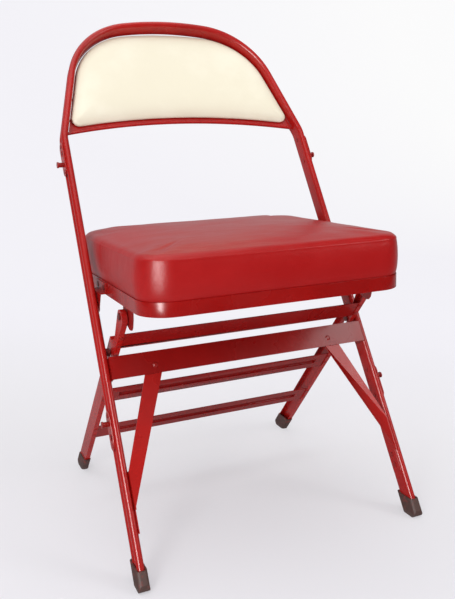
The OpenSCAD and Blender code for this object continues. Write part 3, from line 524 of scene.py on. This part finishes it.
rim_r = 0.0026
rim_shape = [(rim_r * math.cos(a), rim_r * math.sin(a)) for a in [math.tau * i / 16 for i in range(16)]]
rim_path = arc(Vector((0, 0)), rim_big, math.pi / 2 - rim_a, math.pi / 2 + rim_a, 60)
rim = swept("rolled_edge", rim_path, rim_shape, in_rim)
rim.data.materials.append(red_paint)
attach(rim, "frame")
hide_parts("back_panel")

# The back pad: thin foam under a smooth cream vinyl cover, tucked behind the
# frame's edge all round, with rounded lower corners. It carries no print. Vinyl
# has a fine pebbled grain, long soft creases and cloudy patches where rubbed.
skin, skin_in, skin_out = group(
    "vinyl_skin",
    [("Grain Size", "NodeSocketFloat", 900.0), ("Creases", "NodeSocketFloat", 0.5),
     ("Rubbed", "NodeSocketFloat", 0.5)],
    [("Shade", "NodeSocketFloat"), ("Roughness", "NodeSocketFloat"), ("Height", "NodeSocketFloat")])
coords = skin.nodes.new("ShaderNodeTexCoord").outputs["Object"]
pebbles = skin.nodes.new("ShaderNodeTexVoronoi")
pebbles.feature = "SMOOTH_F1"
skin.links.new(coords, pebbles.inputs["Vector"])
skin.links.new(skin_in.outputs["Grain Size"], pebbles.inputs["Scale"])
stretch = skin.nodes.new("ShaderNodeMapping")
stretch.inputs["Scale"].default_value = (1.0, 3.2, 1.6)
stretch.inputs["Rotation"].default_value = (0, 0, 0.45)
skin.links.new(coords, stretch.inputs["Vector"])
folds = noise_of(skin, stretch.outputs[0], 17.0, 3.0, 0.55)
fine = noise_of(skin, stretch.outputs[0], 70.0, 3.0, 0.6)
both = math_of(skin, "ADD", math_of(skin, "MULTIPLY", folds, 6.0), fine)
crease = math_of(skin, "MULTIPLY", both, skin_in.outputs["Creases"])
grain = math_of(skin, "MULTIPLY", pebbles.outputs["Distance"], 0.35)
skin.links.new(math_of(skin, "ADD", grain, crease), skin_out.inputs["Height"])
cloudy = ramp_of(skin, noise_of(skin, coords, 9.0, 5.0, 0.6), 0.35, 0.7)
rubbed = math_of(skin, "MULTIPLY", cloudy, skin_in.outputs["Rubbed"])
skin.links.new(math_of(skin, "ADD", 0.94, math_of(skin, "MULTIPLY", rubbed, 0.14)), skin_out.inputs["Shade"])
skin_rough = math_of(skin, "ADD", math_of(skin, "MULTIPLY", rubbed, 0.12), math_of(skin, "MULTIPLY", grain, 0.15))
skin.links.new(skin_rough, skin_out.inputs["Roughness"])


def vinyl(name, colour, dark, creases, grain, base_rough, depth):
    material, tree, shader = new_material(name)
    layer = use_group(tree, skin, Grain_Size=grain, Creases=creases, Rubbed=0.6)
    tone = mix_of(tree, ramp_of(tree, layer.outputs["Shade"], 0.94, 1.08), dark, colour)
    tree.links.new(tone, shader.inputs["Base Color"])
    tree.links.new(math_of(tree, "ADD", layer.outputs["Roughness"], base_rough), shader.inputs["Roughness"])
    bump = tree.nodes.new("ShaderNodeBump")
    bump.inputs["Strength"].default_value = 0.6
    bump.inputs["Distance"].default_value = depth
    tree.links.new(layer.outputs["Height"], bump.inputs["Height"])
    tree.links.new(bump.outputs["Normal"], shader.inputs["Normal"])
    shader.inputs["Specular IOR Level"].default_value = 0.38
    return material


cream_vinyl = vinyl(
    "cream_vinyl", (0.86, 0.82, 0.67, 1), (0.79, 0.74, 0.58, 1),
    creases=0.08, grain=1100.0, base_rough=0.42, depth=0.0005)
pad_t, pad_edge, pad_gap, pad_low, pad_low_r = 0.015, 0.006, 0.0012, 0.007, 0.012
pad_back = 0.0016


def pad_loop(inset):
    return inside_outline(panel_t + pad_gap + inset, pad_low + inset, max(pad_low_r - inset, 0.002), 4)


# The pad's front swells fast from its edge, then levels off
def pad_height(inset):
    return pad_edge * 0.75 + (pad_t - pad_edge * 0.75) * (1 - math.exp(-inset / 0.011))


pad_rings = [on_dish(pad_loop(0.045), pad_back, t) for t in reversed(closing)]
behind = ((0.045, pad_back), (0.020, pad_back), (0.003, 0.0008), (0.0004, 0.0014))
pad_rings += [on_dish(pad_loop(d), z) for d, z in behind]
pad_rings += [on_dish(pad_loop(0.0), pad_edge * 0.6)]
for i in range(1, 13):
    inset = 0.045 * (i / 12) ** 1.6
    pad_rings.append(on_dish(pad_loop(inset), pad_height(inset)))
top_z = pad_height(0.045)
pad_rings += [on_dish(pad_loop(0.045), top_z, t) for t in closing]
pad = ring_skin(
    "back_cushion", pad_rings,
    in_frame(0, back_mid.y, pad_back - panel_dish), in_frame(0, back_mid.y, top_z - panel_dish))
smooth_pad = pad.modifiers.new("smooth", "SUBSURF")
smooth_pad.levels = smooth_pad.render_levels = 1
pad.data.materials.append(cream_vinyl)
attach(pad, "frame")
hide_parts("back_pad")

# The seat pan: a tray pressed from one sheet, its bottom edge rounded by the
# press, painted like the frame. Its red is darker than the frame's: painted shade
# from the cushion above.
shaded_pan_paint = painted("red_pan_paint_painted_shade", (0.30, 0.002, 0.001, 1), (0.08, 0.010, 0.008, 1), 0.05, 0.26, 0.10)
dress(["seat_pan"], shaded_pan_paint, 0.0011)

# The pan's ears and the brackets under it: bent sheet that carries the hinges,
# riveted to the pan and painted with it. Their red is darkened as painted shade
# under the seat.
dress(["seat_ear_left", "seat_ear_right", "leg_bracket_left", "leg_bracket_right"], shaded_rail_paint, 0.0004)

# The hinge pins, the guide pins and the pan's rivets: turned steel, pressed or
# riveted in, dark with paint that has worn through to the metal.
pin_steel, tree, shader = new_material("dark_pin_steel")
layer = use_group(tree, wear, Paint=(0.16, 0.02, 0.018, 1), Primer=(0.10, 0.09, 0.085, 1), Chips=1.0, Gloss=0.4)
tree.links.new(layer.outputs["Color"], shader.inputs["Base Color"])
tree.links.new(layer.outputs["Roughness"], shader.inputs["Roughness"])
shader.inputs["Metallic"].default_value = 0.35
dress(["guide_pin_left", "guide_pin_right", "seat_pivot_left", "seat_pivot_right",
       "leg_pin_left", "leg_pin_right", "ear_rivets", "bracket_rivets"], pin_steel, 0.0003)

# The seat cushion: foam under red vinyl, a top panel rolled over the edge and
# sewn to a side band, which is drawn in again where it meets the pan's rim.
hinge = Vector((0, 0.208403 - chair_mid, 0.350294))
slope = math.radians(1.0)
pan_w, pan_l, pan_h, pan_t = 0.40297, 0.375, 0.020, 0.0012
pan_front, pan_floor = 0.209, 0.0185
pan_rf, pan_rr = 0.045, 0.068
cushion_h, crown = 0.071, 0.019


def in_seat(x, y, z):
    back = y * math.cos(slope) + z * math.sin(slope)
    rise = z * math.cos(slope) - y * math.sin(slope)
    return Vector((x, hinge.y + back, hinge.z + rise))


def seat_outline(inset):
    w, f, b = pan_w / 2 - inset, -pan_front + inset, pan_l - pan_front - inset
    rf, rr = max(pan_rf - inset, 0.010), max(pan_rr - inset, 0.010)

    def run(p, q, count):
        return [Vector(p).lerp(Vector(q), i / count) for i in range(count)]

    def turn(c, r, a0, count):
        angles = [math.radians(a0 + 90 * i / count) for i in range(count)]
        return [Vector(c) + r * Vector((math.cos(a), math.sin(a))) for a in angles]

    made = run((0, f), (w - rf, f), 20) + turn((w - rf, f + rf), rf, -90, 14)
    made += run((w, f + rf), (w, b - rr), 34) + turn((w - rr, b - rr), rr, 0, 16)
    made += run((w - rr, b), (rr - w, b), 34) + turn((rr - w, b - rr), rr, 90, 16)
    made += run((-w, b - rr), (-w, f + rf), 34) + turn((rf - w, f + rf), rf, 180, 14)
    made += run((rf - w, f), (0, f), 20)
    return made


seam_z, welt_z = pan_floor + pan_h, pan_floor + cushion_h
side_band = welt_z - seam_z
under_z = pan_floor + pan_t + 0.0006
# Each layer is a distance in from the pan's outline and a height over the hinge
layers = [(0.080, under_z), (0.030, under_z), (0.0028, under_z),
          (0.0020, seam_z - 0.006), (0.0019, seam_z - 0.001), (0.0012, seam_z + 0.0008), (0.0004, seam_z + 0.003)]
for i in range(1, 8):
    f = i / 8
    layers.append((0.0002 - 0.0020 * math.sin(math.pi * f) ** 0.7, seam_z + 0.003 + (side_band - 0.006) * f))
layers += [(0.0001, welt_z - 0.0022), (0.0008, welt_z), (0.0004, welt_z + 0.0020)]
for i in range(1, 7):
    a = math.pi / 2 * i / 6
    layers.append((0.0008 + 0.0125 * (1 - math.cos(a)), welt_z + 0.0020 + 0.0085 * math.sin(a)))
for i in range(1, 15):
    d = 0.0133 + 0.158 * i / 15
    layers.append((d, welt_z + 0.0105 + (crown - 0.0105) * (1 - (1 - i / 15) ** 2)))
pinned_rings, half_held_rings = {0, 1, 2, 3, 4, 5, 15}, {14, 16}
cushion = ring_skin(
    "seat_cover",
    [[in_seat(p.x, p.y, z) for p in seat_outline(d)] for d, z in layers],
    in_seat(0, pan_l / 2 - pan_front, under_z),
    in_seat(0, pan_l / 2 - pan_front, welt_z + crown))
ring_len = len(seat_outline(0))
start = [v.co.copy() for v in cushion.data.vertices]
hold = cushion.vertex_groups.new(name="held")
for k in range(len(layers)):
    weight = 1.0 if k in pinned_rings else 0.75 if k in half_held_rings else 0.0
    if weight:
        hold.add(list(range(k * ring_len, (k + 1) * ring_len)), weight, "REPLACE")
hold.add([len(start) - 2], 1.0, "REPLACE")
cloth = cushion.modifiers.new("cover", "CLOTH")
setting = cloth.settings
setting.quality = 7
setting.mass = 0.3
setting.tension_stiffness = setting.compression_stiffness = 40
setting.shear_stiffness = 8
setting.bending_stiffness = 4.0
setting.use_pressure = True
setting.uniform_pressure_force = 2.0
setting.effector_weights.gravity = 0
setting.vertex_group_mass = "held"
cloth.collision_settings.use_collision = False
for step in range(1, 21):
    bpy.context.scene.frame_set(step)
seen_mesh = cushion.evaluated_get(bpy.context.evaluated_depsgraph_get()).data
moved = [v.co.copy() for v in seen_mesh.vertices]
cushion.modifiers.remove(cloth)
bpy.context.scene.frame_set(1)
cap = 0.0014
for v, a, b in zip(cushion.data.vertices, start, moved):
    step = b - a
    if step.length > cap:
        step *= cap / step.length
    v.co = a + step
for v in cushion.data.vertices:
    local = v.co - hinge
    if local.z > pan_floor + pan_h + 0.004:
        ripple = noise.noise(Vector((local.x * 9, local.y * 26 + local.x * 14, 3.1))) * 0.6
        ripple += noise.noise(Vector((local.x * 22 + 7, local.y * 22, local.z * 22))) * 0.5
        v.co += Vector(v.normal) * ripple * 0.0007
smooth_seat = cushion.modifiers.new("smooth", "SUBSURF")
smooth_seat.levels = smooth_seat.render_levels = 1
red_vinyl = vinyl(
    "red_vinyl", (0.42, 0.002, 0.002, 1), (0.36, 0.002, 0.002, 1),
    creases=0.30, grain=950.0, base_rough=0.27, depth=0.0007)
cushion.data.materials.append(red_vinyl)
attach(cushion, "seat")
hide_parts("seat_cushion")

# The rear legs: channels with a round head at the hinge and a neck cut in
# behind it, slotted for the guide pin, painted like the frame.
dress(["rear_leg_left", "rear_leg_right"], red_paint, 0.0006)

# The rear legs' rails: pressed straps inside the legs' front flanges, the two
# lower ones with a groove along them, held by rivets. Their red is darkened as
# painted shade.
dress(["rear_rail_upper", "rear_rail_middle", "rear_rail_lower"], shaded_rail_paint, 0.0005)
dress(["rear_rail_rivets"], rivet_paint, 0.0004)

# The boots: dark moulded rubber pushed over the legs' ends, round at the sole,
# dusty at the floor and flecked with red from the paint above.
rubber, tree, shader = new_material("boot_rubber")
coords = tree.nodes.new("ShaderNodeTexCoord").outputs["Object"]
flecks = ramp_of(tree, noise_of(tree, coords, 120.0, 4.0, 0.65), 0.50, 0.66, 0.0, 0.75)
height_split = tree.nodes.new("ShaderNodeSeparateXYZ")
tree.links.new(coords, height_split.inputs[0])
high_up = ramp_of(tree, height_split.outputs["Z"], 0.004, 0.026, 0.25, 1.0)
tone = mix_of(tree, math_of(tree, "MULTIPLY", flecks, high_up), (0.080, 0.036, 0.028, 1), (0.26, 0.026, 0.020, 1))
dust = ramp_of(tree, height_split.outputs["Z"], 0.0, 0.010, 0.5, 0.0)
tree.links.new(mix_of(tree, dust, tone, (0.13, 0.095, 0.085, 1)), shader.inputs["Base Color"])
shader.inputs["Roughness"].default_value = 0.62
bump = tree.nodes.new("ShaderNodeBump")
bump.inputs["Strength"].default_value = 0.4
bump.inputs["Distance"].default_value = 0.0006
tree.links.new(noise_of(tree, coords, 300.0, 3.0), bump.inputs["Height"])
tree.links.new(bump.outputs["Normal"], shader.inputs["Normal"])
dress(["front_boot_left", "front_boot_right", "rear_boot_left", "rear_boot_right"], rubber, 0.0012)
